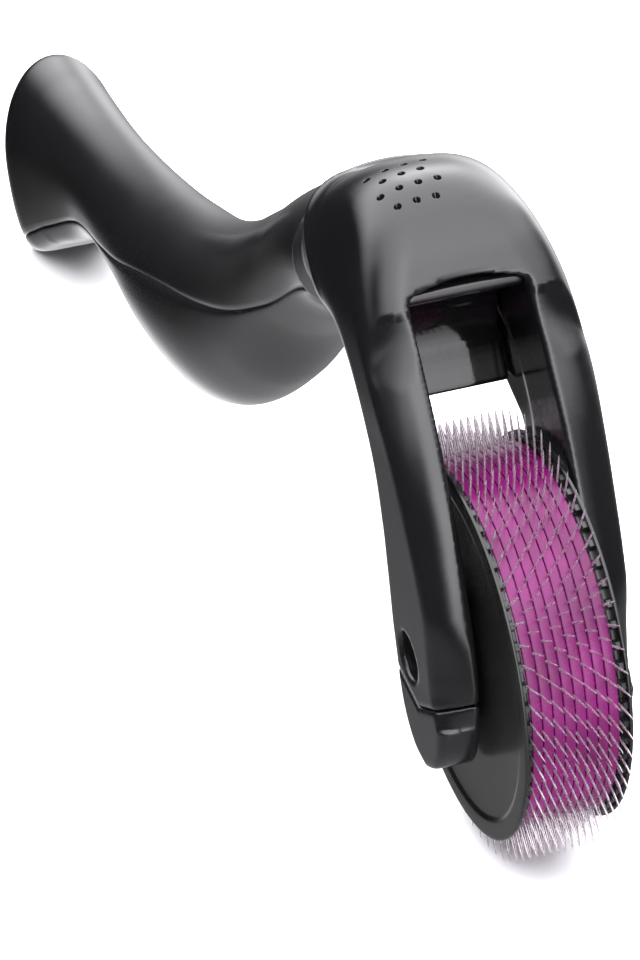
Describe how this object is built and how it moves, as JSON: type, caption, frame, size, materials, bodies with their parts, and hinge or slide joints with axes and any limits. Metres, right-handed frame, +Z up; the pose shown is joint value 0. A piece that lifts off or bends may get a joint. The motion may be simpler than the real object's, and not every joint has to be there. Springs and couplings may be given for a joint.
{
  "type": "derma roller",
  "caption": "Hand roller for the skin with a slim S-curved handle, an arched two-arm head and a free-turning drum of fine needle discs.",
  "frame": {"origin": "middle of the bounding box at its lowest plane, where the needle tips and the tail's foot touch the surface the roller lies on", "axes": "+X from the tail of the handle to the drum, +Y along the drum's axle, +Z up from the surface"},
  "size_m": [0.1321, 0.0132, 0.0396],
  "materials": {
    "gloss_black": "moulded ABS, polished mirror gloss, near black",
    "satin_black": "moulded ABS, satin, black",
    "purple_plastic": "tinted glossy plastic, magenta purple",
    "needle_steel": "etched stainless steel, bright points",
    "pin_steel": "ground stainless steel",
    "bush_nylon": "natural nylon, satin"
  },
  "bodies": {
    "handle_and_head": {"handle_upper_shell": "gloss_black", "handle_lower_shell": "gloss_black", "head_yoke": "gloss_black", "visor": "gloss_black", "visor_pins": "gloss_black", "left_axle_retainer": "gloss_black", "right_axle_retainer": "gloss_black", "axle": "pin_steel"},
    "drum": {"drum_core": "purple_plastic", "left_end_cap": "satin_black", "right_end_cap": "satin_black", "left_bush": "bush_nylon", "right_bush": "bush_nylon", "needle_disc_1": "needle_steel", "needle_disc_2": "needle_steel", "needle_disc_3": "needle_steel", "needle_disc_4": "needle_steel", "needle_disc_5": "needle_steel", "needle_disc_6": "needle_steel", "needle_disc_7": "needle_steel", "needle_disc_8": "needle_steel", "needle_disc_9": "needle_steel", "spacer_ring_1": "purple_plastic", "spacer_ring_2": "purple_plastic", "spacer_ring_3": "purple_plastic", "spacer_ring_4": "purple_plastic", "spacer_ring_5": "purple_plastic", "spacer_ring_6": "purple_plastic", "spacer_ring_7": "purple_plastic", "spacer_ring_8": "purple_plastic"}
  },
  "joints": [
    {"name": "drum_spin", "type": "hinge", "parent": "handle_and_head", "child": "drum", "pos_m": [0.0531, 0, 0.013], "axis": [0, 1, 0], "continuous": true}
  ]
}
